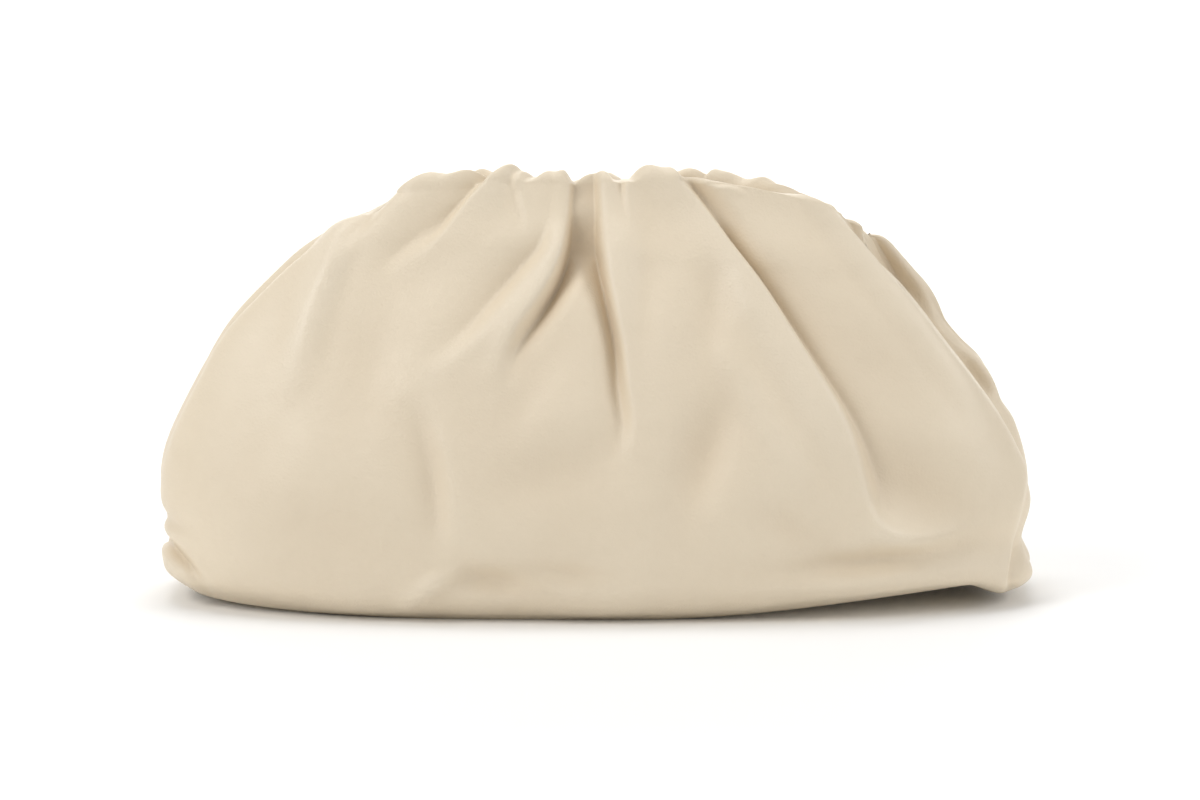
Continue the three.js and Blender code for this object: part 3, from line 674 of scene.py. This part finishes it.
def leather_finish():
    """Smooth cream leather: a fine soft grain, faint clouding, painted shade darkening the folds' valleys
    and a painted sheen lightening their ridges.
    """
    leather = Finish("cream_leather")
    place = leather.add("ShaderNodeTexCoord", output="Object")
    sunk_shade = leather.add("ShaderNodeAttribute", {"attribute_name": "sunk_shade"}, output="Fac")
    proud_sheen = leather.add("ShaderNodeAttribute", {"attribute_name": "proud_sheen"}, output="Fac")
    cloud = leather.add("ShaderNodeTexNoise", {}, {"Vector": place, "Scale": 11, "Detail": 3})
    mottle = leather.add("ShaderNodeTexNoise", {}, {"Vector": place, "Scale": 90, "Detail": 6})
    cream = leather.blend(cloud, (0.715, 0.61, 0.465, 1), (0.8, 0.7, 0.545, 1))
    cream = leather.blend(mottle * 0.3, cream, (0.65, 0.545, 0.4, 1))
    # Painted sheen: the colour is lightened on the ridges, where the leather stands out
    cream = leather.blend(proud_sheen * 0.25, cream, (0.84, 0.755, 0.62, 1))
    # Painted shade: the colour is darkened in the valleys, where the leather sinks in
    cream = leather.blend(sunk_shade * 0.4, cream, (0.6, 0.475, 0.33, 1))
    grain = leather.add("ShaderNodeTexVoronoi", {"feature": "SMOOTH_F1"},
                        {"Vector": place, "Scale": 850, "Smoothness": 0.35})
    pores = leather.add("ShaderNodeTexNoise", {}, {"Vector": place, "Scale": 480, "Detail": 4})
    slack = leather.add("ShaderNodeTexNoise", {}, {"Vector": place, "Scale": 42, "Detail": 3})
    crumple = leather.add("ShaderNodeTexNoise", {"noise_type": "RIDGED_MULTIFRACTAL"},
                          {"Vector": place, "Scale": 110, "Detail": 3, "Roughness": 0.45})
    rough = 0.46 - 0.16 * (cloud - 0.5) + 0.12 * (mottle - 0.5) - 0.06 * proud_sheen + 0.12 * sunk_shade
    slackened = leather.add("ShaderNodeBump", {},
                            {"Strength": 0.5, "Distance": 0.0016, "Height": slack})
    creased = leather.add("ShaderNodeBump", {},
                          {"Strength": 0.25, "Distance": 0.0003, "Height": crumple,
                           "Normal": slackened})
    grained = leather.add("ShaderNodeBump", {},
                          {"Strength": 0.5, "Distance": 0.0002, "Height": grain + pores * 0.9,
                           "Normal": creased})
    leather.set(leather.shader, {
        "Base Color": cream,
        "Roughness": rough,
        "Normal": grained,
        "Specular IOR Level": 0.36,
        "Coat Weight": 0.04,
        "Coat Roughness": 0.32,
    })
    return leather.material


def steel_finish():
    """The hidden frame's bare sprung steel, with a drawn grain."""
    steel = Finish("drawn_steel")
    place = steel.add("ShaderNodeTexCoord", output="Object")
    drawn = steel.add("ShaderNodeMapping", {}, {"Vector": place, "Scale": (8, 900, 900)})
    lines = steel.add("ShaderNodeTexNoise", {}, {"Vector": drawn, "Scale": 1, "Detail": 3})
    tone = steel.blend(lines, (0.5, 0.5, 0.51, 1), (0.62, 0.62, 0.61, 1))
    bump = steel.add("ShaderNodeBump", {}, {"Strength": 0.15, "Distance": 0.0001, "Height": lines})
    steel.set(steel.shader, {
        "Base Color": tone,
        "Metallic": 1,
        "Roughness": 0.28 + 0.15 * lines,
        "Normal": bump,
    })
    return steel.material


def floor_finish():
    """The pale studio paper."""
    paper = Finish("studio_paper")
    place = paper.add("ShaderNodeTexCoord", output="Object")
    cloud = paper.add("ShaderNodeTexNoise", {}, {"Vector": place, "Scale": 3, "Detail": 2})
    paper.set(paper.shader, {
        "Base Color": paper.blend(cloud, (0.93, 0.93, 0.925, 1), (0.95, 0.95, 0.945, 1)),
        "Roughness": 0.9,
    })
    return paper.material


def studio_floor():
    """A wide paper sweep that rises behind the bag in a soft curve."""
    half, front, back, bend, top, facets = 6.0, -5.0, 4.5, 1.6, 6.0, 12
    profile = [(front, 0.0), (back - bend, 0.0)]
    for k in range(1, facets + 1):
        turn = math.pi / 2 * k / facets
        profile.append((back - bend + bend * math.sin(turn), bend * (1 - math.cos(turn))))
    profile.append((back, top))
    points = [(x, y, z) for y, z in profile for x in (-half, half)]
    faces = [(2 * k, 2 * k + 1, 2 * k + 3, 2 * k + 2) for k in range(len(profile) - 1)]
    mesh = bpy.data.meshes.new("studio_floor")
    mesh.from_pydata(points, [], faces)
    mesh.shade_smooth()
    mesh.materials.append(floor_finish())
    floor = bpy.data.objects.new("studio_floor", mesh)
    bpy.context.scene.collection.objects.link(floor)


def soft_light(name, place, aim, size, power):
    """A rectangular area light that is turned towards its aim."""
    lamp = bpy.data.lights.new(name, "AREA")
    lamp.shape = "RECTANGLE"
    lamp.size, lamp.size_y = size
    lamp.energy = power
    light = bpy.data.objects.new(name, lamp)
    light.location = place
    light.rotation_euler = (Vector(aim) - Vector(place)).to_track_quat("-Z", "Y").to_euler()
    bpy.context.scene.collection.objects.link(light)


def studio_lights():
    """Soft boxes to the left, the right and above, one for the paper behind, and pale air."""
    middle = (0, 0, 0.1)
    soft_light("left_softbox", (-1.7, -1.2, 1.5), middle, (1.0, 1.6), 28)
    soft_light("right_softbox", (2.0, -0.6, 1.1), middle, (1.0, 1.4), 17.5)
    soft_light("top_softbox", (-0.2, 0.3, 2.2), middle, (1.6, 1.0), 18)
    soft_light("paper_light", (0, 2.2, 3.0), (0, 4.4, 1.2), (3.0, 0.8), 170)
    world = bpy.data.worlds.new("studio_air")
    bpy.context.scene.world = world
    world.use_nodes = True
    world.node_tree.nodes["Background"].inputs["Color"].default_value = (1, 1, 1, 1)
    world.node_tree.nodes["Background"].inputs["Strength"].default_value = 0.33


def photo_camera():
    """A long lens from a little above, straight at the front."""
    distance, tilt, aim = 2.3, math.radians(10), Vector((0.002, 0, 0.089))
    photo_pixels_a_metre = 2202.6
    lens = bpy.data.cameras.new("photo_camera")
    lens.sensor_width = 36
    lens.lens = photo_pixels_a_metre * distance * lens.sensor_width / PHOTO_SIZE[0]
    camera = bpy.data.objects.new("photo_camera", lens)
    back = Vector((0, -math.cos(tilt), math.sin(tilt)))
    camera.location = aim + back * distance
    camera.rotation_euler = (-back).to_track_quat("-Z", "Y").to_euler()
    bpy.context.scene.collection.objects.link(camera)
    bpy.context.scene.camera = camera


photo_camera()
studio_lights()
studio_floor()
bpy.context.scene.view_settings.view_transform = "Standard"

leather = leather_finish()
pieces = {
    "front_panel": leather_panel("front"),
    "back_panel": leather_panel("back"),
    "base_panel": base_sheet(),
}
for node, piece in pieces.items():
    piece.data.materials.append(leather)
    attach(piece, "root")
    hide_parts(node)

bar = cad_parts["closure_frame"]
bar.data.materials.clear()
bar.data.materials.append(steel_finish())
